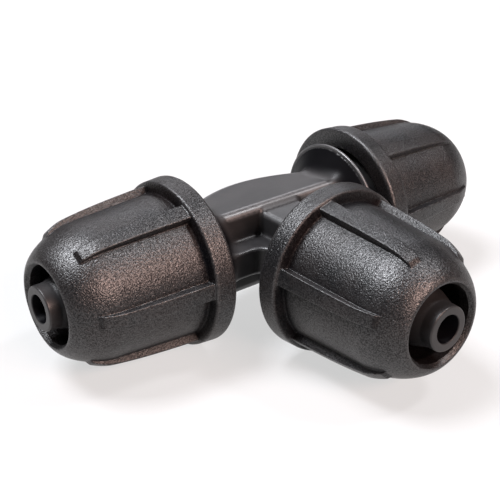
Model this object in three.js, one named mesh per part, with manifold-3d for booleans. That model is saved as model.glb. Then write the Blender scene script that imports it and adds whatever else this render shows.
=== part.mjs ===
// A three-way fitting for 4/7 mm drip irrigation hose, held by lock nuts.
// Millimetres, +Z up. The run lies along X and the branch points along -Y.
// The origin is under the middle of the fitting, on the surface it lies on.

import * as THREE from 'three';
import { mergeVertices } from 'three/addons/utils/BufferGeometryUtils.js';
import Module from 'manifold-3d';

// ---- Driving dimensions -------------------------------------------------
// Distances along a port are counted from the point where the axes meet.

const SIDES = 24;               // sides of turned shapes, and steps in a turn of thread
const EDGE = 0.2;               // small chamfers on moulded edges
const ROOT = 0.4;               // how far a joined shape is sunk into the one below it

const BORE_RADIUS = 1.3;        // waterway
const TIP_REACH = 25.0;         // end face of each barb
const TIP_RADIUS = 2.1;
const TIP_LENGTH = 1.2;
const BARB_RADIUS = 2.75;       // widest ring of the barb
const BARB_REACH = 22.2;
const BARB_ROOT_RADIUS = 1.95;  // fits the 4 mm inside of the hose
const SHOULDER_REACH = 17.2;    // the hose end stops here
const SHOULDER_RADIUS = 3.9;

const STUB_RADIUS = 4.95;       // root of the male thread
const STUB_REACH = 16.2;
const COLLAR_RADIUS = 6.85;
const COLLAR_BACK = 8.8;
const COLLAR_FRONT = 9.15;
const BELL_RADIUS = 6.5;        // the bell flares out to its collar
const BELL_NECK_RADIUS = 2.8;
const BELL_NECK_REACH = 6.2;

const RUN_FRONT = 2.6;          // flat front of the run, towards the branch
const RUN_TOP = 4.4;            // half its height, at the front
const RUN_FRONT_CORNER = 0.6;
const RUN_BACK_TOP = 3.7;       // half its height, at the back
const RUN_BACK_CORNER = 1.1;
const BOW_DEPTH = 5.1;          // back of the run, at its middle
const BOW_DROP = 1.2;           // how much shallower it is at its ends
const BOW_HALF_LENGTH = 5.0;
const BOW_STEPS = 10;
const RUN_HALF_LENGTH = 7.0;
const BRANCH_HALF_WIDTH = 2.4;
const BRANCH_HALF_HEIGHT = 3.7;
const WEB_HALF_THICKNESS = 1.4;
const WEB_FRONT = 4.85;         // edge of the web along the run
const WEB_SIDE = 3.8;           // edge of the web along the branch
const WEB_FILLET = 1.5;

const PITCH = 2.0;              // thread pitch
const THREAD_DEPTH = 0.5;
const THREAD_FOOT = 1.44;       // width of the ridge at its foot
const THREAD_FLAT = 0.4;        // width of its crest
const CREST_CLEARANCE = 0.2;    // between the crests of the two threads
const THREAD_TURNS = 2.0;
const MALE_THREAD_START = 11.2;
const FEMALE_THREAD_START = MALE_THREAD_START + PITCH / 2;

const NUT_BACK = 9.45;          // back face of a tight nut
const NUT_FLANGE_RADIUS = 8.2;  // at the back of the flange
const FLANGE_FRONT_RADIUS = 8.05;
const NUT_FLANGE_FRONT = 11.6;
const FLANGE_EDGE = 0.25;
const NUT_BODY_RADIUS = 6.95;   // just in front of the flange
const NUT_SHOULDER_REACH = 20.15;
const NUT_SHOULDER_RADIUS = 6.42;
const NUT_CREST_REACH = 24.28;  // foremost rim of the nose
const NUT_CREST_RADIUS = 4.1;
const NOSE_ROUNDNESS = 1.5;     // 1 is a cone and 2 is a quarter of an ellipse
const NOSE_STEPS = 6;
const NUT_MOUTH_RADIUS = 3.7;   // clears the 7 mm outside of the hose
const NUT_MOUTH_REACH = 23.9;
const NUT_WALL_RADIUS = 6.1;    // root of the female thread
const NUT_WALL_REACH = 16.5;
const CAVITY_RADIUS = 5.5;      // the cavity narrows forwards of the thread
const CAVITY_REACH = 17.6;
const WEDGE_RADIUS = 4.4;       // the wedge squeezes the hose onto the barb
const WEDGE_REACH = 21.6;
const MOUTH_BACK_REACH = 22.9;
const RIBS = 6;
const RIB_WIDTH = 1.6;          // next to the flange
const RIB_END_WIDTH = 1.2;
const RIB_HEIGHT = 0.77;        // above the nut body, next to the flange
const RIB_END_HEIGHT = 0.28;
const RIB_END_REACH = 22.1;
const RIB_FALL = 3;             // how late along the rib its height falls
const RIB_STEPS = 8;
const RIGHT_NUT_BACKED_OFF = 0.95;

// Angle of the first rib of each nut, in degrees about its own port.
const LEFT_RIB_ANGLE = 62;
const RIGHT_RIB_ANGLE = 0;
const BRANCH_RIB_ANGLE = 45;

// The lowest points are the rims of the nut flanges.
const AXIS_HEIGHT = NUT_FLANGE_RADIUS;
const RIGHT_REACH = Math.max(TIP_REACH, NUT_CREST_REACH + RIGHT_NUT_BACKED_OFF);
const CENTRE_X = (TIP_REACH - RIGHT_REACH) / 2;
const CENTRE_Y = (TIP_REACH - NUT_FLANGE_RADIUS) / 2;

const wasm = await Module();
wasm.setup();

// ---- Helpers ------------------------------------------------------------

const radians = THREE.MathUtils.degToRad;

// A closed three.js geometry as a solid that can be joined and cut.
function solid(geometry) {
  const bare = geometry.clone();
  bare.deleteAttribute('normal');
  bare.deleteAttribute('uv');
  const merged = mergeVertices(bare, 1e-4);
  const vertProperties = new Float32Array(merged.attributes.position.array);
  const triVerts = new Uint32Array(merged.index.array);
  return new wasm.Manifold(new wasm.Mesh({ numProp: 3, vertProperties, triVerts }));
}

// The solid back as a geometry.
function geometryOf(body) {
  const mesh = body.getMesh();
  const geometry = new THREE.BufferGeometry();
  geometry.setAttribute('position', new THREE.BufferAttribute(mesh.vertProperties, 3));
  geometry.setIndex(new THREE.BufferAttribute(mesh.triVerts, 1));
  geometry.computeVertexNormals();
  return geometry;
}

const joined = (solids) => solids.reduce((whole, next) => whole.add(next));

// A body turned about +X. Each point of the profile is [reach, radius]. The profile goes
// out along the outside, and a hollow body's comes back along the inside.
function turned(profile) {
  const points = profile.map(([reach, radius]) => new THREE.Vector2(radius, reach));
  const geometry = new THREE.LatheGeometry(points, SIDES);
  geometry.rotateZ(-Math.PI / 2);
  return geometry;
}

// A plan shape, drawn in X and Y, made thick about z = 0.
function slab(shape, halfThickness) {
  const geometry = new THREE.ExtrudeGeometry(shape, {
    depth: 2 * halfThickness,
    bevelEnabled: false,
    curveSegments: 3,
  });
  geometry.translate(0, 0, -halfThickness);
  return geometry;
}

// A helical ridge about +X, whose height fades out over a quarter turn at both ends.
function threadRidge({ rootRadius, crestRadius, start, turn }) {
  const steps = THREAD_TURNS * SIDES;
  const fade = SIDES / 4;
  const positions = [];
  const index = [];
  for (let step = 0; step <= steps; step += 1) {
    const share = Math.min(1, (step + 1) / fade, (steps - step + 1) / fade);
    const crest = THREE.MathUtils.lerp(rootRadius, crestRadius, share);
    const reach = start + (PITCH * step) / SIDES;
    const angle = 2 * Math.PI * (step / SIDES + turn);
    const section = [
      [reach - THREAD_FOOT / 2, rootRadius],
      [reach - THREAD_FLAT / 2, crest],
      [reach + THREAD_FLAT / 2, crest],
      [reach + THREAD_FOOT / 2, rootRadius],
    ];
    for (const [along, radius] of section) {
      positions.push(along, radius * Math.cos(angle), radius * Math.sin(angle));
    }
  }
  for (let step = 0; step < steps; step += 1) {
    for (let corner = 0; corner < 4; corner += 1) {
      const a = 4 * step + corner;
      const b = 4 * step + ((corner + 1) % 4);
      index.push(a, b, b + 4, a, b + 4, a + 4);
    }
  }
  const last = 4 * steps;
  index.push(0, 2, 1, 0, 3, 2);
  index.push(last, last + 1, last + 2, last, last + 2, last + 3);
  if (crestRadius > rootRadius) {
    index.reverse();
  }
  const geometry = new THREE.BufferGeometry();
  geometry.setAttribute('position', new THREE.Float32BufferAttribute(positions, 3));
  geometry.setIndex(index);
  return geometry;
}

// ---- Tee body -----------------------------------------------------------

// Bell, collar, threaded stub and barb of one port, along +X. Its inner end is buried
// in the middle of the tee.
function portBody() {
  const profile = [
    [0, 0],
    [0, BELL_NECK_RADIUS - EDGE / 2],
    [BELL_NECK_REACH, BELL_NECK_RADIUS],
    [COLLAR_BACK, BELL_RADIUS],
    [COLLAR_BACK + EDGE, COLLAR_RADIUS],
    [COLLAR_FRONT - EDGE, COLLAR_RADIUS],
    [COLLAR_FRONT, COLLAR_RADIUS - EDGE],
    [COLLAR_FRONT, STUB_RADIUS],
    [STUB_REACH - THREAD_DEPTH, STUB_RADIUS],
    [STUB_REACH, STUB_RADIUS - THREAD_DEPTH],
    [SHOULDER_REACH, SHOULDER_RADIUS],
    [SHOULDER_REACH, BARB_ROOT_RADIUS],
    [BARB_REACH - EDGE, BARB_ROOT_RADIUS],
    [BARB_REACH, BARB_RADIUS],
    [TIP_REACH - TIP_LENGTH, TIP_RADIUS + EDGE / 2],
    [TIP_REACH - EDGE, TIP_RADIUS],
    [TIP_REACH, TIP_RADIUS - EDGE],
    [TIP_REACH, 0],
  ];
  const thread = threadRidge({
    rootRadius: STUB_RADIUS - EDGE,
    crestRadius: STUB_RADIUS + THREAD_DEPTH,
    start: MALE_THREAD_START,
    turn: 0,
  });
  return solid(turned(profile)).add(solid(thread));
}

// The waterway of one port, from past the middle to past the tip.
function portBore() {
  const profile = [
    [-BORE_RADIUS, 0],
    [-BORE_RADIUS, BORE_RADIUS],
    [TIP_REACH + 1, BORE_RADIUS],
    [TIP_REACH + 1, 0],
  ];
  return solid(turned(profile));
}

// Middle of the run: a flat front, a top that slopes gently down to the back, and a back
// that bows outwards in plan.
function runMiddle() {
  const front = RUN_FRONT_CORNER - RUN_FRONT;
  const back = BOW_DEPTH - RUN_BACK_CORNER;
  const section = new THREE.Shape();
  section.moveTo(-RUN_FRONT, RUN_FRONT_CORNER - RUN_TOP);
  section.lineTo(-RUN_FRONT, RUN_TOP - RUN_FRONT_CORNER);
  section.quadraticCurveTo(-RUN_FRONT, RUN_TOP, front, RUN_TOP);
  section.lineTo(back, RUN_BACK_TOP);
  section.quadraticCurveTo(BOW_DEPTH, RUN_BACK_TOP, BOW_DEPTH, RUN_BACK_TOP - RUN_BACK_CORNER);
  section.lineTo(BOW_DEPTH, RUN_BACK_CORNER - RUN_BACK_TOP);
  section.quadraticCurveTo(BOW_DEPTH, -RUN_BACK_TOP, back, -RUN_BACK_TOP);
  section.lineTo(front, -RUN_TOP);
  section.quadraticCurveTo(-RUN_FRONT, -RUN_TOP, -RUN_FRONT, RUN_FRONT_CORNER - RUN_TOP);
  const bar = slab(section, RUN_HALF_LENGTH);
  bar.rotateX(Math.PI / 2);
  bar.rotateZ(Math.PI / 2);

  const half = RUN_HALF_LENGTH + ROOT;
  const plan = new THREE.Shape();
  plan.moveTo(-half, -RUN_FRONT - ROOT);
  plan.lineTo(half, -RUN_FRONT - ROOT);
  for (let step = 0; step <= BOW_STEPS; step += 1) {
    const x = half - (2 * half * step) / BOW_STEPS;
    plan.lineTo(x, BOW_DEPTH - BOW_DROP * (x / BOW_HALF_LENGTH) ** 2);
  }
  return solid(bar).intersect(solid(slab(plan, RUN_TOP + ROOT)));
}

// Thin web that fills both corners between the run and the branch.
function cornerWeb() {
  const end = COLLAR_BACK + ROOT;
  const shape = new THREE.Shape();
  shape.moveTo(-end, 0);
  shape.lineTo(-end, -WEB_FRONT);
  shape.lineTo(-WEB_SIDE - WEB_FILLET, -WEB_FRONT);
  shape.quadraticCurveTo(-WEB_SIDE, -WEB_FRONT, -WEB_SIDE, -WEB_FRONT - WEB_FILLET);
  shape.lineTo(-WEB_SIDE, -end);
  shape.lineTo(WEB_SIDE, -end);
  shape.lineTo(WEB_SIDE, -WEB_FRONT - WEB_FILLET);
  shape.quadraticCurveTo(WEB_SIDE, -WEB_FRONT, WEB_SIDE + WEB_FILLET, -WEB_FRONT);
  shape.lineTo(end, -WEB_FRONT);
  shape.lineTo(end, 0);
  return solid(slab(shape, WEB_HALF_THICKNESS));
}

function branchMiddle() {
  const box = new THREE.BoxGeometry(
    2 * BRANCH_HALF_WIDTH,
    RUN_HALF_LENGTH,
    2 * BRANCH_HALF_HEIGHT,
  );
  box.translate(0, -RUN_HALF_LENGTH / 2, 0);
  return solid(box);
}

function teeBody() {
  const directions = [0, 180, -90];
  const middle = [runMiddle(), cornerWeb(), branchMiddle()];
  const ports = directions.map((angle) => portBody().rotate([0, 0, angle]));
  const bores = directions.map((angle) => portBore().rotate([0, 0, angle]));
  return joined([...middle, ...ports]).subtract(joined(bores));
}

// ---- Lock nut -----------------------------------------------------------

// Radius of the nut body where it is smooth, between its ribs.
function nutRadius(reach) {
  const taper = (reach - NUT_FLANGE_FRONT) / (NUT_SHOULDER_REACH - NUT_FLANGE_FRONT);
  if (taper <= 1) {
    return THREE.MathUtils.lerp(NUT_BODY_RADIUS, NUT_SHOULDER_RADIUS, taper);
  }
  const along = (reach - NUT_SHOULDER_REACH) / (NUT_CREST_REACH - NUT_SHOULDER_REACH);
  const round = Math.max(0, 1 - along ** NOSE_ROUNDNESS) ** (1 / NOSE_ROUNDNESS);
  return THREE.MathUtils.lerp(NUT_CREST_RADIUS, NUT_SHOULDER_RADIUS, round);
}

// Radius of the top of a rib, which sinks towards the round nose.
function ribRadius(reach) {
  const share = (reach - NUT_FLANGE_FRONT) / (RIB_END_REACH - NUT_FLANGE_FRONT);
  return nutRadius(reach) + THREE.MathUtils.lerp(RIB_HEIGHT, RIB_END_HEIGHT, share ** RIB_FALL);
}

// Points of the nose's outline, closer together where it curves most.
function nosePoints() {
  const points = [];
  for (let step = 0; step <= NOSE_STEPS; step += 1) {
    const share = Math.sin((step * Math.PI) / (2 * NOSE_STEPS)) ** (2 / NOSE_ROUNDNESS);
    const reach = THREE.MathUtils.lerp(NUT_SHOULDER_REACH, NUT_CREST_REACH, share);
    points.push([reach, nutRadius(reach)]);
  }
  return points;
}

function nutShell() {
  const profile = [
    [NUT_BACK, NUT_WALL_RADIUS],
    [NUT_BACK, NUT_FLANGE_RADIUS - FLANGE_EDGE],
    [NUT_BACK + FLANGE_EDGE, NUT_FLANGE_RADIUS],
    [NUT_FLANGE_FRONT - FLANGE_EDGE, FLANGE_FRONT_RADIUS],
    [NUT_FLANGE_FRONT, FLANGE_FRONT_RADIUS - FLANGE_EDGE],
    [NUT_FLANGE_FRONT, NUT_BODY_RADIUS],
    ...nosePoints(),
    [NUT_CREST_REACH, NUT_CREST_RADIUS - EDGE],
    [NUT_MOUTH_REACH, NUT_MOUTH_RADIUS],
    [MOUTH_BACK_REACH, NUT_MOUTH_RADIUS],
    [WEDGE_REACH, WEDGE_RADIUS],
    [CAVITY_REACH, CAVITY_RADIUS],
    [NUT_WALL_REACH, NUT_WALL_RADIUS],
    [NUT_BACK, NUT_WALL_RADIUS],
  ];
  return solid(turned(profile));
}

// One rib, along +X, standing up along +Z. Its sides come closer together towards the nose.
function nutRib() {
  const start = NUT_FLANGE_FRONT - ROOT;
  const side = new THREE.Shape();
  side.moveTo(start, NUT_BODY_RADIUS - ROOT);
  side.lineTo(start, ribRadius(NUT_FLANGE_FRONT));
  for (let step = 0; step <= RIB_STEPS; step += 1) {
    const reach = THREE.MathUtils.lerp(NUT_FLANGE_FRONT, RIB_END_REACH, step / RIB_STEPS);
    side.lineTo(reach, ribRadius(reach));
  }
  side.lineTo(RIB_END_REACH, nutRadius(RIB_END_REACH) - ROOT);
  side.lineTo(NUT_SHOULDER_REACH, NUT_SHOULDER_RADIUS - ROOT);
  const rib = slab(side, RIB_WIDTH / 2);
  rib.rotateX(Math.PI / 2);
  const points = rib.attributes.position;
  for (let point = 0; point < points.count; point += 1) {
    const share = (points.getX(point) - start) / (RIB_END_REACH - start);
    const width = THREE.MathUtils.lerp(RIB_WIDTH, RIB_END_WIDTH, share);
    points.setY(point, (points.getY(point) * width) / RIB_WIDTH);
  }
  return solid(rib);
}

function lockNut(ribAngle, turn) {
  const thread = threadRidge({
    rootRadius: NUT_WALL_RADIUS + EDGE,
    crestRadius: STUB_RADIUS + THREAD_DEPTH + CREST_CLEARANCE,
    start: FEMALE_THREAD_START,
    turn,
  });
  const pieces = [nutShell(), solid(thread)];
  for (let rib = 0; rib < RIBS; rib += 1) {
    const angle = ribAngle + (360 * rib) / RIBS - 90;
    pieces.push(nutRib().rotate([angle, 0, 0]));
  }
  return joined(pieces);
}

// ---- Assembly -----------------------------------------------------------

const bodyPlastic = new THREE.MeshStandardMaterial({
  color: 0x2b2b2d,
  roughness: 0.5,
  metalness: 0,
});

const nutPlastic = new THREE.MeshStandardMaterial({
  color: 0x1c1b1c,
  roughness: 0.6,
  metalness: 0,
});

function named(name, body, material) {
  const mesh = new THREE.Mesh(geometryOf(body), material);
  mesh.name = name;
  return mesh;
}

const fitting = new THREE.Group();
fitting.position.set(CENTRE_X, CENTRE_Y, AXIS_HEIGHT);

fitting.add(named('tee_body', teeBody(), bodyPlastic));

const leftNut = named('left_nut', lockNut(LEFT_RIB_ANGLE, 0), nutPlastic);
leftNut.rotation.z = radians(180);
fitting.add(leftNut);

const backedOffTurns = RIGHT_NUT_BACKED_OFF / PITCH;
const rightNut = named('right_nut', lockNut(RIGHT_RIB_ANGLE, backedOffTurns), nutPlastic);
rightNut.position.x = RIGHT_NUT_BACKED_OFF;
fitting.add(rightNut);

const branchNut = named('branch_nut', lockNut(BRANCH_RIB_ANGLE, 0), nutPlastic);
branchNut.rotation.z = radians(-90);
fitting.add(branchNut);

const model = new THREE.Group();
model.add(fitting);

export default model;
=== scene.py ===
"""A three-way fitting for drip hose with its three lock nuts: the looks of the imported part.

Lengths are in millimetres, and turn into metres where a mesh, light or camera is made.
Distances along a port are counted from the point where the axes of the ports meet.
"""

import math

import bpy
import numpy as np
import openvdb
from mathutils import Matrix, Vector


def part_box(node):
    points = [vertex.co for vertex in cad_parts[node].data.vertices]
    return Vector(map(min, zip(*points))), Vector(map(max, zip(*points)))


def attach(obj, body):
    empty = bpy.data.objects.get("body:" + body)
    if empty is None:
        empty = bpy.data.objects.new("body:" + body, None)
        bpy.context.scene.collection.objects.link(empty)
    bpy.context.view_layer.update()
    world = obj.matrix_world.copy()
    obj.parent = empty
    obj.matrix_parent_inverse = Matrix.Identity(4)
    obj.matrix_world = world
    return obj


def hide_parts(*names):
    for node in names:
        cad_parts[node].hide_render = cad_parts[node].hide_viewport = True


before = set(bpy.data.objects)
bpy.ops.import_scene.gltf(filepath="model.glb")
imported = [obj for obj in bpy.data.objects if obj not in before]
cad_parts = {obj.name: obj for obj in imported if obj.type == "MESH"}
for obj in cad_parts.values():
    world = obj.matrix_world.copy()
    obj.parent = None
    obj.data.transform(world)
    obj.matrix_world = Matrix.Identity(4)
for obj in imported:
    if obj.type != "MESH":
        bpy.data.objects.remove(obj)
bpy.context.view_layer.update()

MM = 0.001

# Mesh attributes, all from 0 to 1.
WEAR_AND_HIGHLIGHT = "wear_and_highlight"      # along outside edges: partly wear, partly painted highlight
PAINTED_SHADE = "painted_shade"      # painted shade: in a bore, on the back of a bell, at a rib's end and at the foot of a flange

# ---- Sizes from the frame -------------------------------------------------


def box_in_mm(node_name):
    return [np.array(corner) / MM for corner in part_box(node_name)]


tee_low, tee_high = box_in_mm("tee_body")
left_low, left_high = box_in_mm("left_nut")
right_far_end = box_in_mm("right_nut")[1][0]

TIP_REACH = (tee_high[0] - tee_low[0]) / 2
COLLAR_RADIUS = (tee_high[2] - tee_low[2]) / 2
CENTRE = np.array([
    (tee_low[0] + tee_high[0]) / 2,
    tee_low[1] + TIP_REACH,
    (tee_low[2] + tee_high[2]) / 2,
])
NUT_BACK = CENTRE[0] - left_high[0]
NUT_CREST_REACH = CENTRE[0] - left_low[0]
FLANGE_RADIUS = (left_high[2] - left_low[2]) / 2
RIGHT_NUT_BACKED_OFF = right_far_end - CENTRE[0] - NUT_CREST_REACH

# ---- Sizes of the tee body ------------------------------------------------

BORE_RADIUS = 1.3
BORE_COLUMNS = 48
BORE_MOUTH = 0.1           # how far the end of a bore flares
TIP_RADIUS = 2.1
TIP_LENGTH = 1.2
TIP_ROUNDING = 0.14
BARB_RADIUS = 2.75
BARB_REACH = 22.2
BARB_ROOT_RADIUS = 1.95
SHOULDER_REACH = 17.2
SHOULDER_RADIUS = 3.9
STUB_RADIUS = 4.95
STUB_REACH = 16.2
COLLAR_BACK = 8.8
COLLAR_FRONT = 9.15
COLLAR_EDGE = 0.16
PORT_COLUMNS = 96
PORT_STEP = 0.25           # the longest stretch of a port's outline
BELL_RADIUS = 6.5
BELL_NECK_RADIUS = 2.8
BELL_NECK_REACH = 6.2
BELL_FILLET = 0.9
# how dark the painted shade on the back of a bell is
BELL_PAINTED_SHADE = 0.93
MIDDLE_END = COLLAR_BACK + 0.15

RUN_FRONT = 2.6
RUN_TOP = 4.4
RUN_BACK_TOP = 3.7
RUN_HALF_LENGTH = 8.6
RUN_EDGE = 0.8
BOW_DEPTH = 5.1
BOW_DROP = 1.2
BOW_HALF_LENGTH = 5.0
BOW_EDGE = 0.95
BRANCH_HALF_WIDTH = 2.4
BRANCH_HALF_HEIGHT = 3.7
BRANCH_EDGE = 0.5
BRANCH_FILLET = 0.45
WEB_HALF_THICKNESS = 1.4
WEB_FRONT = 4.85
WEB_SIDE = 3.8
WEB_CORNER = 1.5
WEB_EDGE = 0.22
WEB_FILLET = 0.35
VOXEL = 0.14
PROBE = 0.12               # how far off the surface the bend of an edge is measured
HIGHLIGHT_BEND = 0.35           # edges that bend less than this, in 1/mm, get no painted highlight
HIGHLIGHT_GAIN = 1.4
SHARP_BEND = 1.9           # edges sharper than this get their painted highlight in a thinner line

PITCH = 2.0
THREAD_DEPTH = 0.5
THREAD_LEAD_IN = (-0.15, 0.2)      # in turns from the thread's start
THREAD_LEAD_OUT = (-0.2, 0.15)     # in turns from its end
THREAD_TURNS = 2.0
THREAD_FOOT = 1.44
THREAD_FLAT = 0.4
CREST_CLEARANCE = 0.2
MALE_THREAD_START = 11.2
FEMALE_THREAD_START = MALE_THREAD_START + PITCH / 2

# ---- Sizes of a lock nut --------------------------------------------------

FLANGE_FRONT = 11.6
FLANGE_FRONT_RADIUS = 8.05
FLANGE_BACK_EDGE = 0.32
FLANGE_FRONT_EDGE = 0.26
FLANGE_ROOT = 0.2
FLANGE_LEAN = 0.08         # half the distance that the flange's front face leans
BODY_START = FLANGE_FRONT + 0.8
NUT_BODY_RADIUS = 6.95
NUT_SHOULDER_REACH = 20.15
NUT_SHOULDER_RADIUS = 6.42
NUT_CREST_RADIUS = 4.1
NUT_NOSE_LENGTH = NUT_CREST_REACH - NUT_SHOULDER_REACH
NOSE_ROUNDNESS = 1.5
NUT_MOUTH_RADIUS = 3.7
NUT_MOUTH_REACH = 23.9
MOUTH_BACK_REACH = 22.9
WEDGE_RADIUS = 4.4
WEDGE_REACH = 21.6
CAVITY_RADIUS = 5.5
CAVITY_REACH = 17.6
NUT_WALL_RADIUS = 6.1
NUT_WALL_REACH = 16.5
RIBS = 6
RIB_WIDTH = 1.6
RIB_END_WIDTH = 1.2
RIB_HEIGHT = 0.77
RIB_END_HEIGHT = 0.28
RIB_END_REACH = 22.1
RIB_FALL = 3.0
RIB_EDGE = 0.09
RIB_FOOT = 0.07
RIB_ROUND_SHARE = 0.45             # of a low rib's height, at most, for its edge or foot
RIB_END_FALL = (-0.08, 0.3)        # where a rib's blunt end falls, from RIB_END_REACH
RIB_END_SHADE = (-0.16, -0.04)     # where its painted shade begins, from RIB_END_REACH
# how deep the painted shade on a rib's blunt end is
RIB_END_PAINTED_SHADE = 0.6
FOOT_SHADE_START = (-0.2, 0.0)     # where the painted shade at the flange's foot begins, from FLANGE_FRONT
FOOT_SHADE_END = (0.2, 0.7)        # where it ends, from FLANGE_FRONT
BODY_ROWS = 20
NOSE_ROWS = 34
BLUNT_ROWS = 9
RIB_ROUND_STEPS = 4                # in each rounded edge and foot
SPREAD_COLUMNS = 9                 # between a rib's foot and half way to the next
SPREAD_POWER = 1.3
INSIDE_STEP = 0.16                 # the longest stretch of the nut's inner outline

# Which way each port points, and the angle of its nut's first rib about the port.
PORTS = {
    "left": {"turn": 180, "rib_angle": 62, "backed_off": 0.0},
    "right": {"turn": 0, "rib_angle": 0, "backed_off": RIGHT_NUT_BACKED_OFF},
    "branch": {"turn": -90, "rib_angle": 45, "backed_off": 0.0},
}


# ---- Outlines -------------------------------------------------------------

def rounded(corners, steps=4, support=0.08):
    """An outline through [reach, radius, rounding] corners, with an arc at each rounded one.

    Long straight stretches get a point near each end, which keeps their shading flat."""
    points = []
    for k, (reach, radius, rounding) in enumerate(corners):
        here = np.array([reach, radius])
        if rounding == 0 or k in (0, len(corners) - 1):
            points.append(here)
            continue
        back = np.array(corners[k - 1][:2]) - here
        ahead = np.array(corners[k + 1][:2]) - here
        back /= np.linalg.norm(back)
        ahead /= np.linalg.norm(ahead)
        half = math.acos(np.clip(back @ ahead, -1, 1)) / 2
        centre = here + (back + ahead) / np.linalg.norm(back + ahead) * rounding / math.sin(half)
        start = here + back * rounding / math.tan(half) - centre
        end = here + ahead * rounding / math.tan(half) - centre
        sweep = math.pi - 2 * half
        for step in range(steps + 1):
            share = step / steps
            arm = start * math.sin((1 - share) * sweep) + end * math.sin(share * sweep)
            points.append(centre + arm / math.sin(sweep))
    with_support = [points[0]]
    for here, there in zip(points, points[1:]):
        length = np.linalg.norm(there - here)
        if length > 4 * support:
            with_support.append(here + (there - here) * support / length)
            with_support.append(there - (there - here) * support / length)
        with_support.append(there)
    return np.array(with_support)


def divided(outline, longest):
    """The outline with its long stretches cut into pieces no longer than this."""
    points = [outline[0]]
    for here, there in zip(outline, outline[1:]):
        pieces = max(1, math.ceil(np.linalg.norm(there - here) / longest))
        for piece in range(1, pieces + 1):
            points.append(here + (there - here) * piece / pieces)
    return np.array(points)


def smooth_step(low, high, value):
    share = np.clip((value - low) / (high - low), 0, 1)
    return share * share * (3 - 2 * share)


def thread(reach, angle, start, turn):
    """How high a right-handed thread stands there, from 0 to 1."""
    turns = angle / (2 * math.pi) - turn
    offset = (reach - start) / PITCH - turns
    nearest = np.round(offset)
    away = np.abs(offset - nearest) * PITCH
    along = turns + nearest
    ridge = 1 - smooth_step(THREAD_FLAT / 2, THREAD_FOOT / 2, away)
    fade = smooth_step(*THREAD_LEAD_IN, along)
    fade *= 1 - smooth_step(*THREAD_LEAD_OUT, along - THREAD_TURNS)
    return ridge * fade


# ---- Meshes ---------------------------------------------------------------

def placed(points, turn=0, shift=0.0):
    """Points along +X, moved along the port, turned to it and put where the ports meet."""
    moved = points + np.array([shift, 0, 0])
    angle = math.radians(turn)
    spin = np.array([
        [math.cos(angle), -math.sin(angle), 0],
        [math.sin(angle), math.cos(angle), 0],
        [0, 0, 1],
    ])
    return moved @ spin.T + CENTRE


def mesh_object(name, points, faces):
    mesh = bpy.data.meshes.new(name)
    mesh.from_pydata((points * MM).tolist(), [], faces)
    mesh.validate()
    mesh.update()
    made = bpy.data.objects.new(name, mesh)
    bpy.context.scene.collection.objects.link(made)
    return made


def add_attribute(made, name, values):
    attribute = made.data.attributes.new(name, "FLOAT", "POINT")
    attribute.data.foreach_set("value", values.ravel().astype(np.float32))


def grid_faces(rows, columns, wrap_rows):
    """Quads of a grid whose columns go all the way round."""
    faces = []
    for row in range(rows if wrap_rows else rows - 1):
        here = row * columns
        there = ((row + 1) % rows) * columns
        for column in range(columns):
            beside = (column + 1) % columns
            faces.append((here + column, here + beside, there + beside, there + column))
    return faces


def capped_faces(rows, columns):
    """Quads of a grid whose columns go all the way round, and a face over each end."""
    last = (rows - 1) * columns
    ends = [tuple(reversed(range(columns))), tuple(range(last, last + columns))]
    return grid_faces(rows, columns, wrap_rows=False) + ends


def even_angles(columns, rows):
    return np.repeat(np.arange(columns)[None, :] * 2 * math.pi / columns, rows, axis=0)


def around(reach, radius, angle):
    """Cylindrical positions as points, with the port along +X."""
    reach = np.broadcast_to(reach, radius.shape)
    return np.stack([reach, radius * np.cos(angle), radius * np.sin(angle)], -1).reshape(-1, 3)


# ---- Lock nut -------------------------------------------------------------

def nut_radius(reach):
    taper = (reach - FLANGE_FRONT) / (NUT_SHOULDER_REACH - FLANGE_FRONT)
    if taper <= 1:
        return NUT_BODY_RADIUS + (NUT_SHOULDER_RADIUS - NUT_BODY_RADIUS) * taper
    along = (reach - NUT_SHOULDER_REACH) / NUT_NOSE_LENGTH
    height = max(0.0, 1 - along ** NOSE_ROUNDNESS) ** (1 / NOSE_ROUNDNESS)
    return NUT_CREST_RADIUS + (NUT_SHOULDER_RADIUS - NUT_CREST_RADIUS) * height


def rib_lift(reach):
    """How far a rib stands above the nut body, which is nowhere but in front of the flange."""
    if reach < FLANGE_FRONT - 0.3:
        return 0.0
    share = np.clip((reach - FLANGE_FRONT) / (RIB_END_REACH - FLANGE_FRONT), 0, 1)
    height = RIB_HEIGHT + (RIB_END_HEIGHT - RIB_HEIGHT) * share ** RIB_FALL
    return height * (1 - smooth_step(*RIB_END_FALL, reach - RIB_END_REACH))


def rib_half_width(reach):
    share = np.clip((reach - FLANGE_FRONT) / (RIB_END_REACH - FLANGE_FRONT), 0, 1)
    return (RIB_WIDTH + (RIB_END_WIDTH - RIB_WIDTH) * share) / 2


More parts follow.
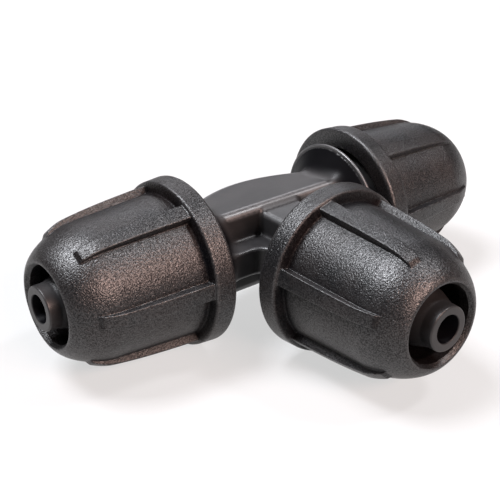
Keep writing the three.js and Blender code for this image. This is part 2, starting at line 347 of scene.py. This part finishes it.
def nut_outside():
    """The outline from the back of the flange, over the body and nose, into the mouth."""
    flange = rounded([
        [NUT_BACK, NUT_WALL_RADIUS + 0.3, 0],
        [NUT_BACK, FLANGE_RADIUS, FLANGE_BACK_EDGE],
        [FLANGE_FRONT - FLANGE_LEAN, FLANGE_FRONT_RADIUS, FLANGE_FRONT_EDGE],
        [FLANGE_FRONT + FLANGE_LEAN, nut_radius(FLANGE_FRONT + FLANGE_LEAN), FLANGE_ROOT],
        [BODY_START, nut_radius(BODY_START), 0],
    ])
    body = np.linspace(BODY_START, NUT_SHOULDER_REACH, BODY_ROWS)[1:]
    quarter = np.arange(1, NOSE_ROWS + 1) / NOSE_ROWS * math.pi / 2
    nose = NUT_SHOULDER_REACH + NUT_NOSE_LENGTH * np.sin(quarter) ** (2 / NOSE_ROUNDNESS)
    blunt = np.linspace(RIB_END_REACH - 0.1, RIB_END_REACH + 0.32, BLUNT_ROWS)
    nose = np.sort(np.concatenate([nose, blunt]))
    mouth = rounded([
        [NUT_CREST_REACH, NUT_CREST_RADIUS, 0],
        [NUT_CREST_REACH - 0.02, NUT_CREST_RADIUS - 0.12, 0.05],
        [NUT_MOUTH_REACH, NUT_MOUTH_RADIUS, 0.06],
        [NUT_MOUTH_REACH - 0.4, NUT_MOUTH_RADIUS, 0],
    ])[1:]
    reaches = np.concatenate([body, nose])
    shell = [[reach, nut_radius(reach)] for reach in reaches]
    return np.array([*flange, *shell, *mouth])


def nut_inside():
    """The outline from the mouth back through the wedge, the cavity and the thread."""
    return rounded([
        [NUT_MOUTH_REACH - 0.6, NUT_MOUTH_RADIUS, 0],
        [MOUTH_BACK_REACH, NUT_MOUTH_RADIUS, 0.3],
        [WEDGE_REACH, WEDGE_RADIUS, 0.6],
        [CAVITY_REACH, CAVITY_RADIUS, 0.8],
        [NUT_WALL_REACH, NUT_WALL_RADIUS, 0.3],
        [NUT_BACK, NUT_WALL_RADIUS, 0.25],
        [NUT_BACK, NUT_WALL_RADIUS + 0.2, 0],
    ])


def rib_columns():
    """One half of a sector, from the middle of a rib to half way to the next.

    Each column says how its place follows the rib's width, edge and foot, as
    (width share, edge sideways, foot sideways, height share, edge down, foot up, spread)."""
    columns = [(share, 0, 0, 1, 0, 0, 0) for share in (0, 0.5, 0.85, 1)]
    quarter = [step / RIB_ROUND_STEPS * math.pi / 2 for step in range(RIB_ROUND_STEPS + 1)]
    for angle in quarter[1:]:
        columns.append((1, math.sin(angle), 0, 1, 1 - math.cos(angle), 0, 0))
    for angle in quarter:
        columns.append((1, 1, 1 - math.cos(angle), 0, 0, 1 - math.sin(angle), 0))
    for column in range(1, SPREAD_COLUMNS + 1):
        columns.append((1, 1, 1, 0, 0, 0, (column / SPREAD_COLUMNS) ** SPREAD_POWER))
    return np.array(columns)


def turning(outline):
    """How sharply the outline turns outwards at each point, from 0 to 1."""
    before = outline[1:-1] - outline[:-2]
    after = outline[2:] - outline[1:-1]
    cross = before[:, 1] * after[:, 0] - before[:, 0] * after[:, 1]
    bend = cross / (np.linalg.norm(before, axis=1) * np.linalg.norm(after, axis=1))
    return np.concatenate([[0], np.clip(bend / 0.3, 0, 1), [0]])


def nut_rows(outline, columns, raised):
    """Radius, angle, wear with painted highlight, and painted shade of a sector's half, for each
    point of the outline.
    """
    radii = []
    angles = []
    wear_and_highlight = []
    painted_shade = []
    for reach, radius in outline:
        lift = rib_lift(reach) if raised else 0.0
        height = max(0.0, nut_radius(reach) + lift - radius) if lift > 0 else 0.0
        edge = min(RIB_EDGE, RIB_ROUND_SHARE * height)
        foot = min(RIB_FOOT, RIB_ROUND_SHARE * height)
        wide, edge_out, foot_out, high, edge_down, foot_up, spread = columns.T
        local = radius + height * high - edge * edge_down + foot * foot_up
        side = wide * (rib_half_width(reach) - RIB_EDGE) + edge_out * RIB_EDGE + foot_out * RIB_FOOT
        angle = side / local
        angle = angle + (math.pi / RIBS - angle) * spread
        radii.append(local)
        angles.append(angle)
        # lighter rib edges: partly wear, partly painted highlight
        on_edge = np.where(foot_out + spread > 0, 0, np.sin(math.pi * edge_down))
        wear_and_highlight.append(on_edge * (edge > 0.05))
        # painted shade on a rib's blunt end and in the groove at the flange's foot
        at_end = smooth_step(*RIB_END_SHADE, reach - RIB_END_REACH) * (height > 0.01)
        at_foot = smooth_step(*FOOT_SHADE_START, reach - FLANGE_FRONT)
        at_foot *= 1 - smooth_step(*FOOT_SHADE_END, reach - FLANGE_FRONT)
        between = smooth_step(0, 0.1, spread)
        painted_shade.append(RIB_END_PAINTED_SHADE * at_end * (1 - between) + at_foot * between)
    # the outline's rims: partly wear, partly painted highlight
    rim = turning(outline)[:, None] if raised else 0.0
    return np.array(radii), np.array(angles), np.maximum(np.array(wear_and_highlight), rim), np.array(painted_shade)


def all_round(half):
    """The half sector, mirrored and repeated for every rib."""
    return np.hstack([half[:, -2:0:-1], half] * RIBS)


def angles_all_round(half, first_angle):
    parts = []
    for rib in range(RIBS):
        middle = math.radians(first_angle) + 2 * math.pi * rib / RIBS
        parts += [middle - half[:, -2:0:-1], middle + half]
    return np.hstack(parts)


def lock_nut(name, port):
    outside = nut_outside()
    inside = divided(nut_inside(), INSIDE_STEP)
    columns = rib_columns()
    halves = zip(nut_rows(outside, columns, True), nut_rows(inside, columns, False))
    radii, angles, wear_and_highlight, painted_shade = (np.vstack(pair) for pair in halves)
    reach = np.concatenate([outside[:, 0], inside[:, 0]])[:, None]
    radii = all_round(radii)
    wear_and_highlight = all_round(wear_and_highlight)
    painted_shade = all_round(painted_shade)
    angles = angles_all_round(angles, port["rib_angle"])
    turn = port["backed_off"] / PITCH
    ridge = thread(reach, angles, FEMALE_THREAD_START, turn)
    ridge[: len(outside)] = 0
    ridge *= smooth_step(NUT_WALL_RADIUS - 0.5, NUT_WALL_RADIUS - 0.2, radii)
    depth = NUT_WALL_RADIUS - STUB_RADIUS - THREAD_DEPTH - CREST_CLEARANCE
    points = around(reach, radii - depth * ridge, angles)
    faces = grid_faces(len(radii), radii.shape[1], wrap_rows=True)
    made = mesh_object(name, placed(points, port["turn"], port["backed_off"]), faces)
    add_attribute(made, WEAR_AND_HIGHLIGHT, wear_and_highlight)
    add_attribute(made, PAINTED_SHADE, painted_shade)
    made.data.shade_smooth()
    return made


# ---- Tee body -------------------------------------------------------------

def joined_round(first, second, radius):
    """Union of two distance fields, with a fillet where they meet."""
    gap = np.hypot(np.maximum(radius - first, 0), np.maximum(radius - second, 0))
    return np.maximum(radius, np.minimum(first, second)) - gap


def common_round(first, second, radius):
    """Intersection of two distance fields, with a rounded edge where they meet."""
    gap = np.hypot(np.maximum(radius + first, 0), np.maximum(radius + second, 0))
    return np.minimum(-radius, np.maximum(first, second)) + gap


def run_field(x, y, z):
    slope = (RUN_TOP - RUN_BACK_TOP) / (RUN_FRONT + BOW_DEPTH)
    top = (np.abs(z) - RUN_TOP + slope * (y + RUN_FRONT)) / math.hypot(1, slope)
    bend = BOW_DROP / BOW_HALF_LENGTH ** 2
    back = (y - BOW_DEPTH + bend * x ** 2) / np.hypot(1, 2 * bend * x)
    bar = common_round(top, back, BOW_EDGE)
    bar = common_round(bar, -y - RUN_FRONT, RUN_EDGE)
    return np.maximum(bar, np.abs(x) - RUN_HALF_LENGTH)


def branch_field(x, y, z):
    sides = common_round(np.abs(x) - BRANCH_HALF_WIDTH, np.abs(z) - BRANCH_HALF_HEIGHT, BRANCH_EDGE)
    return np.maximum(np.maximum(sides, y), -y - MIDDLE_END)


def web_field(x, y, z):
    plan = joined_round(np.abs(x) - WEB_SIDE, -y - WEB_FRONT, WEB_CORNER)
    plate = common_round(plan, np.abs(z) - WEB_HALF_THICKNESS, WEB_EDGE)
    return np.maximum(np.maximum(plate, y), np.maximum(np.abs(x), -y) - MIDDLE_END)


def bell_field(along, across, z, end=MIDDLE_END):
    slope = (BELL_RADIUS - BELL_NECK_RADIUS) / (COLLAR_BACK - BELL_NECK_REACH)
    cone = BELL_NECK_RADIUS + slope * (along - BELL_NECK_REACH)
    side = (np.hypot(across, z) - cone) / math.hypot(1, slope)
    return np.maximum(side, along - end)


def tee_field(x, y, z):
    """Distance outside the moulded middle of the tee."""
    blocks = joined_round(run_field(x, y, z), branch_field(x, y, z), BRANCH_FILLET)
    blocks = joined_round(blocks, web_field(x, y, z), WEB_FILLET)
    bells = np.minimum(bell_field(np.abs(x), y, z), bell_field(-y, x, z))
    field = joined_round(blocks, bells, BELL_FILLET)
    return np.maximum(field, np.maximum(np.abs(x), -y) - MIDDLE_END)


def middle_of_tee():
    """A mesh of the moulded middle of the tee, from its distance field."""
    low = np.array([-MIDDLE_END, -MIDDLE_END, -COLLAR_RADIUS]) - 3 * VOXEL
    high = np.array([MIDDLE_END, BOW_DEPTH, COLLAR_RADIUS]) + 3 * VOXEL
    counts = np.ceil((high - low) / VOXEL).astype(int)
    axes = [low[k] + VOXEL * np.arange(counts[k]) for k in range(3)]
    x, y, z = np.meshgrid(*axes, indexing="ij")
    field = tee_field(x, y, z)
    grid = openvdb.FloatGrid(1.0)
    grid.copyFromArray(field.astype(np.float32))
    points, quads = grid.convertToQuads()
    return points.astype(float) * VOXEL + low, quads.tolist()


def port_outline():
    return rounded([
        [COLLAR_BACK - 0.9, 0, 0],
        [COLLAR_BACK - 0.9, STUB_RADIUS - 0.3, 0],
        [COLLAR_BACK, STUB_RADIUS - 0.3, 0],
        [COLLAR_BACK, COLLAR_RADIUS, COLLAR_EDGE],
        [COLLAR_FRONT, COLLAR_RADIUS, COLLAR_EDGE],
        [COLLAR_FRONT, STUB_RADIUS, 0.3],
        [STUB_REACH, STUB_RADIUS, 0.45],
        [SHOULDER_REACH, SHOULDER_RADIUS, 0.2],
        [SHOULDER_REACH, BARB_ROOT_RADIUS, 0.3],
        [BARB_REACH - 0.2, BARB_ROOT_RADIUS, 0.15],
        [BARB_REACH, BARB_RADIUS, 0.08],
        [TIP_REACH - TIP_LENGTH, TIP_RADIUS + 0.05, 0.6],
        [TIP_REACH, TIP_RADIUS, TIP_ROUNDING],
        [TIP_REACH, 0, 0],
    ])


def port_solid(name, turn):
    outline = divided(port_outline(), PORT_STEP)[1:-1]
    reach = outline[:, :1]
    radius = np.repeat(outline[:, 1:], PORT_COLUMNS, axis=1)
    angle = even_angles(PORT_COLUMNS, len(outline))
    ridge = thread(reach, angle, MALE_THREAD_START, 0)
    ridge *= smooth_step(STUB_RADIUS - 0.6, STUB_RADIUS - 0.3, radius)
    ridge *= 1 - smooth_step(STUB_RADIUS + 0.05, STUB_RADIUS + 0.3, radius)
    points = around(reach, radius + THREAD_DEPTH * ridge, angle)
    return mesh_object(name, placed(points, turn), capped_faces(len(outline), PORT_COLUMNS))


def bore_solid(name, turn):
    mouth_radius = BORE_RADIUS + BORE_MOUTH
    outline = np.array([
        [-BORE_RADIUS * 0.5, BORE_RADIUS],
        [TIP_REACH - BORE_MOUTH, BORE_RADIUS],
        [TIP_REACH, mouth_radius],
        [TIP_REACH + 1, mouth_radius],
    ])
    radius = np.repeat(outline[:, 1:], BORE_COLUMNS, axis=1)
    points = around(outline[:, :1], radius, even_angles(BORE_COLUMNS, len(outline)))
    return mesh_object(name, placed(points, turn), capped_faces(len(outline), BORE_COLUMNS))


def combine(target, tool, operation):
    """Joins the tool to the target, or cuts it out, and removes the tool."""
    modifier = target.modifiers.new("combine", "BOOLEAN")
    modifier.solver = "MANIFOLD"
    modifier.operation = operation
    modifier.object = tool
    evaluated = target.evaluated_get(bpy.context.evaluated_depsgraph_get())
    mesh = bpy.data.meshes.new_from_object(evaluated)
    target.modifiers.clear()
    target.data = mesh
    bpy.data.objects.remove(tool)


def tee_edge_highlight(points):
    """Painted highlight: how far each point lies on an outside edge of the middle, or on a collar's
    rim.
    """
    here = tee_field(*points.T)
    bend = -6 * here
    for axis in range(3):
        for side in (-PROBE, PROBE):
            moved = points.copy()
            moved[:, axis] += side
            bend += tee_field(*moved.T)
    bend /= PROBE ** 2
    wear_and_highlight = np.clip(HIGHLIGHT_GAIN * (bend - HIGHLIGHT_BEND), 0, 1)
    wear_and_highlight *= np.clip(SHARP_BEND / np.maximum(bend, 1), 0.3, 1)
    wear_and_highlight *= np.abs(here) < 0.08
    x, y, z = points.T
    for along, across in ((np.abs(x), y), (-y, x)):
        in_collar = (along > COLLAR_BACK - 0.02) & (along < COLLAR_FRONT + 0.02)
        rim = in_collar & (np.hypot(across, z) > COLLAR_RADIUS - 0.2)
        wear_and_highlight = np.where(in_collar, rim, wear_and_highlight)
    return wear_and_highlight


def tee_painted_shade(points):
    """Painted shade: how far each point lies in a bore or on the back of a bell."""
    x, y, z = points.T
    painted_shade = np.zeros(len(points))
    for along, across in ((np.abs(x), y), (-y, x)):
        bore = (along > 0) & (np.hypot(across, z) < BORE_RADIUS + 0.02)
        bell = 1 - smooth_step(0.0, 0.6, np.abs(bell_field(along, across, z, COLLAR_BACK)))
        bell *= (along > BELL_NECK_REACH - 0.5) & (along < COLLAR_BACK - 0.02)
        painted_shade = np.maximum(painted_shade, np.maximum(bore, BELL_PAINTED_SHADE * bell))
    return painted_shade


def tee_body():
    points, quads = middle_of_tee()
    made = mesh_object("tee_moulding", points + CENTRE, quads)
    for side, port in PORTS.items():
        combine(made, port_solid(side + "_port", port["turn"]), "UNION")
    for side, port in PORTS.items():
        combine(made, bore_solid(side + "_bore", port["turn"]), "DIFFERENCE")
    corners = np.empty(3 * len(made.data.vertices))
    made.data.vertices.foreach_get("co", corners)
    points = corners.reshape(-1, 3) / MM - CENTRE
    add_attribute(made, WEAR_AND_HIGHLIGHT, tee_edge_highlight(points))
    add_attribute(made, PAINTED_SHADE, tee_painted_shade(points))
    made.data.shade_smooth()
    return made


# ---- Materials ------------------------------------------------------------

COOL_BLACK = (0.0020, 0.0020, 0.0026, 1)
WARM_BLACK = (0.0040, 0.0026, 0.0026, 1)
PALE_SPECK = (0.0100, 0.0092, 0.0095, 1)
# lighter nut edges: partly wear, partly painted highlight
WORN_EDGE_AND_HIGHLIGHT = (0.0160, 0.0150, 0.0155, 1)
SATIN_DARK = (0.0135, 0.0130, 0.0135, 1)
SATIN_LIGHT = (0.0210, 0.0200, 0.0205, 1)
# painted highlight on the body's edges and collar rims
PAINTED_EDGE_HIGHLIGHT = (0.0380, 0.0370, 0.0380, 1)

# How far across each noise's features are, and how deep each bump is, in millimetres.
NUT_GRAIN = 0.22
NUT_FINE_GRAIN = 0.13
NUT_CLOUD = 6.0
NUT_GRAIN_DEPTH = 0.050
NUT_FINE_DEPTH = 0.040
NUT_BUMP = 0.9
BODY_GRAIN = 0.3
BODY_CLOUD = 3.5
BODY_GRAIN_DEPTH = 0.012
BODY_BUMP = 0.35

# Specular level in the open, the same in deep corners where it is cut as painted shade, and how far
# corners reach.
NUT_SHEEN = (0.5, 0.05, 1.5)
BODY_SHEEN = (0.34, 0.30, 1.2)
PAINTED_HIGHLIGHT_SHINE = 2.9           # painted highlight on the edges of the body, against its faces
NUT_PAINTED_SHADE_SHINE = 0.2       # where the nut has painted shade, against the rest of it
# where the body has painted shade, against the rest of it
BODY_PAINTED_SHADE_SHINE = 0.05


def node(tree, kind, inputs, **settings):
    made = tree.nodes.new(kind)
    for name, value in settings.items():
        setattr(made, name, value)
    for name, value in inputs.items():
        if isinstance(value, bpy.types.NodeSocket):
            tree.links.new(value, made.inputs[name])
        else:
            made.inputs[name].default_value = value
    return made


def noise(tree, coordinates, size, detail=2.0, roughness=0.55):
    """Noise from 0 to 1, whose features are about this many millimetres across."""
    inputs = {"Vector": coordinates, "Scale": 1 / (size * MM), "Detail": detail}
    made = node(tree, "ShaderNodeTexNoise", {**inputs, "Roughness": roughness})
    return made.outputs["Fac"]


def remap(tree, value, source, target):
    inputs = {
        "Value": value,
        "From Min": source[0],
        "From Max": source[1],
        "To Min": target[0],
        "To Max": target[1],
    }
    return node(tree, "ShaderNodeMapRange", inputs).outputs["Result"]


def mixed(tree, factor, first, second):
    made = node(tree, "ShaderNodeMix", {}, data_type="RGBA")
    for index, value in ((0, factor), (6, first), (7, second)):
        if isinstance(value, bpy.types.NodeSocket):
            tree.links.new(value, made.inputs[index])
        else:
            made.inputs[index].default_value = value
    return made.outputs[2]


def multiplied(tree, first, second):
    made = node(tree, "ShaderNodeMath", {0: first, 1: second}, operation="MULTIPLY")
    return made.outputs[0]


def bumped(tree, height, distance, strength, normal=None):
    inputs = {"Height": height, "Distance": distance * MM, "Strength": strength}
    if normal is not None:
        inputs["Normal"] = normal
    return node(tree, "ShaderNodeBump", inputs).outputs["Normal"]


def new_material(name):
    material = bpy.data.materials.new(name)
    material.use_nodes = True
    tree = material.node_tree
    shader = tree.nodes["Principled BSDF"]
    coordinates = tree.nodes.new("ShaderNodeTexCoord").outputs["Object"]
    return material, tree, shader, coordinates


def mesh_attribute(tree, name):
    return node(tree, "ShaderNodeAttribute", {}, attribute_name=name).outputs["Fac"]


def edge_wear_and_highlight(tree, grain):
    """Wear and painted highlight from 0 to 1 along outside edges, broken up by the grain."""
    broken = remap(tree, grain, (0.35, 0.6), (0.1, 1.0))
    return multiplied(tree, mesh_attribute(tree, WEAR_AND_HIGHLIGHT), broken)


def corner_shaded_shine(tree, level, deep_level, reach):
    """Reflects less in deep corners found by ambient occlusion, as painted shade."""
    open_air = node(tree, "ShaderNodeAmbientOcclusion", {"Distance": reach * MM}, samples=8)
    return remap(tree, open_air.outputs["AO"], (0.25, 0.85), (deep_level, level))


def nut_plastic():
    """Black plastic, moulded against a spark-eroded surface, with browner and bluer clouds."""
    material, tree, shader, coordinates = new_material("nut_plastic")
    grain = noise(tree, coordinates, NUT_GRAIN, 2.0, 0.7)
    fine = noise(tree, coordinates, NUT_FINE_GRAIN, 1.0, 0.6)
    cloud = noise(tree, coordinates, NUT_CLOUD, 3.0, 0.5)
    tint = mixed(tree, remap(tree, cloud, (0.42, 0.58), (0, 1)), COOL_BLACK, WARM_BLACK)
    speck = remap(tree, grain, (0.52, 0.72), (0.0, 1.0))
    colour = mixed(tree, speck, tint, PALE_SPECK)
    # lighter edges: partly wear, partly painted highlight
    colour = mixed(tree, edge_wear_and_highlight(tree, grain), colour, WORN_EDGE_AND_HIGHLIGHT)
    tree.links.new(colour, shader.inputs["Base Color"])
    glint = remap(tree, fine, (0.36, 0.66), (0.5, 1.7))
    shine = multiplied(tree, corner_shaded_shine(tree, *NUT_SHEEN), glint)
    # painted shade on the rib ends and at the flange's foot: less reflection
    painted_shade = mesh_attribute(tree, PAINTED_SHADE)
    shine = multiplied(tree, shine, remap(tree, painted_shade, (0, 1), (1.0, NUT_PAINTED_SHADE_SHINE)))
    tree.links.new(shine, shader.inputs["Specular IOR Level"])
    tree.links.new(remap(tree, cloud, (0.35, 0.65), (0.36, 0.44)), shader.inputs["Roughness"])
    normal = bumped(tree, fine, NUT_FINE_DEPTH, NUT_BUMP)
    normal = bumped(tree, grain, NUT_GRAIN_DEPTH, NUT_BUMP, normal)
    tree.links.new(normal, shader.inputs["Normal"])
    return material


def body_plastic():
    """Charcoal plastic with the satin finish of a plain mould."""
    material, tree, shader, coordinates = new_material("body_plastic")
    grain = noise(tree, coordinates, BODY_GRAIN, 2.0)
    cloud = noise(tree, coordinates, BODY_CLOUD, 3.0)
    colour = mixed(tree, remap(tree, cloud, (0.4, 0.6), (0, 1)), SATIN_DARK, SATIN_LIGHT)
    # painted highlight on the edges and collar rims
    colour = mixed(tree, edge_wear_and_highlight(tree, grain), colour, PAINTED_EDGE_HIGHLIGHT)
    # painted shade in the bores and on the backs of the bells: near black and barely reflecting
    painted_shade = mesh_attribute(tree, PAINTED_SHADE)
    colour = mixed(tree, painted_shade, colour, COOL_BLACK)
    tree.links.new(colour, shader.inputs["Base Color"])
    tree.links.new(remap(tree, cloud, (0.3, 0.7), (0.36, 0.46)), shader.inputs["Roughness"])
    normal = bumped(tree, grain, BODY_GRAIN_DEPTH, BODY_BUMP)
    tree.links.new(normal, shader.inputs["Normal"])
    # painted highlight: edges and collar rims reflect more
    edge_shine = remap(tree, mesh_attribute(tree, WEAR_AND_HIGHLIGHT), (0, 1), (1.0, PAINTED_HIGHLIGHT_SHINE))
    shine = multiplied(tree, corner_shaded_shine(tree, *BODY_SHEEN), edge_shine)
    shine = multiplied(tree, shine, remap(tree, painted_shade, (0, 1), (1.0, BODY_PAINTED_SHADE_SHINE)))
    tree.links.new(shine, shader.inputs["Specular IOR Level"])
    return material


# ---- Pieces ---------------------------------------------------------------

def finished(piece, material, body, node_name):
    piece.data.materials.clear()
    piece.data.materials.append(material)
    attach(piece, body)
    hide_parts(node_name)


finished(tee_body(), body_plastic(), "tee", "tee_body")
black = nut_plastic()
for side, port in PORTS.items():
    nut = lock_nut(side + "_lock_nut", port)
    finished(nut, black, side + "_nut", side + "_nut")


# ---- Stage ----------------------------------------------------------------

FLOOR_HALF_WIDTH = 3000.0

# Each light's place, size, power and colour.
LIGHTS = {
    "key": ((-420, 360, 1280), (560, 560), 41.0, (0.93, 0.95, 1.0)),
    "front": ((60, -1180, 760), (800, 260), 28.5, (1.0, 0.70, 0.61)),
    "side": ((600, -420, 1190), (220, 220), 11.0, (0.98, 0.97, 1.0)),
    "back": ((680, 950, 760), (700, 500), 4.3, (0.95, 0.95, 1.0)),
}

CAMERA_HEADING = 51.11
CAMERA_ELEVATION = 25.04
CAMERA_ROLL = -0.278
CAMERA_DISTANCE = 106.13
CAMERA_ASIDE = -1.607
CAMERA_ABOVE = -0.869
CAMERA_SHIFT = (-0.06, -0.056)
LENS = 75.95
SENSOR_WIDTH = 36


def floor():
    material, _, shader, _ = new_material("floor_paint")
    shader.inputs["Base Color"].default_value = (0.16, 0.16, 0.16, 1)
    shader.inputs["Roughness"].default_value = 0.9
    shader.inputs["Specular IOR Level"].default_value = 0.0
    shader.inputs["Emission Color"].default_value = (1, 1, 1, 1)
    shader.inputs["Emission Strength"].default_value = 0.6
    half = FLOOR_HALF_WIDTH
    corners = [[-half, -half, 0], [half, -half, 0], [half, half, 0], [-half, half, 0]]
    made = mesh_object("floor", np.array(corners, float), [(0, 1, 2, 3)])
    made.data.materials.append(material)


def area_light(name, place, size, power, colour):
    """A light that faces the point where the ports meet."""
    light = bpy.data.lights.new(name, "AREA")
    light.shape = "RECTANGLE"
    light.size = size[0] * MM
    light.size_y = size[1] * MM
    light.energy = power
    light.color = colour
    made = bpy.data.objects.new(name, light)
    bpy.context.scene.collection.objects.link(made)
    made.location = Vector(place) * MM
    made.rotation_mode = "QUATERNION"
    made.rotation_quaternion = (Vector(CENTRE) - Vector(place)).to_track_quat("-Z", "Y")


def camera():
    """The camera looks down at the fitting from beyond its branch."""
    heading = math.radians(CAMERA_HEADING)
    elevation = math.radians(CAMERA_ELEVATION)
    roll = math.radians(CAMERA_ROLL)
    forward = Vector((
        math.cos(heading) * math.cos(elevation),
        math.sin(heading) * math.cos(elevation),
        -math.sin(elevation),
    ))
    level = forward.cross(Vector((0, 0, 1))).normalized()
    upright = level.cross(forward)
    right = math.cos(roll) * level + math.sin(roll) * upright
    up = math.cos(roll) * upright - math.sin(roll) * level
    data = bpy.data.cameras.new("camera")
    data.lens = LENS
    data.sensor_width = SENSOR_WIDTH
    data.clip_start = MM
    data.shift_x, data.shift_y = CAMERA_SHIFT
    made = bpy.data.objects.new("camera", data)
    bpy.context.scene.collection.objects.link(made)
    place = Vector(CENTRE) - forward * CAMERA_DISTANCE - right * CAMERA_ASIDE - up * CAMERA_ABOVE
    turned = Matrix((right, up, -forward)).transposed().to_4x4()
    made.matrix_world = Matrix.Translation(place * MM) @ turned
    bpy.context.scene.camera = made


def studio():
    world = bpy.data.worlds.new("studio")
    world.use_nodes = True
    background = world.node_tree.nodes["Background"]
    background.inputs["Color"].default_value = (1, 1, 1, 1)
    background.inputs["Strength"].default_value = 0.08
    bpy.context.scene.world = world
    for name, (place, size, power, colour) in LIGHTS.items():
        area_light(name, place, size, power, colour)
    bpy.context.scene.view_settings.view_transform = "Standard"


floor()
studio()
camera()
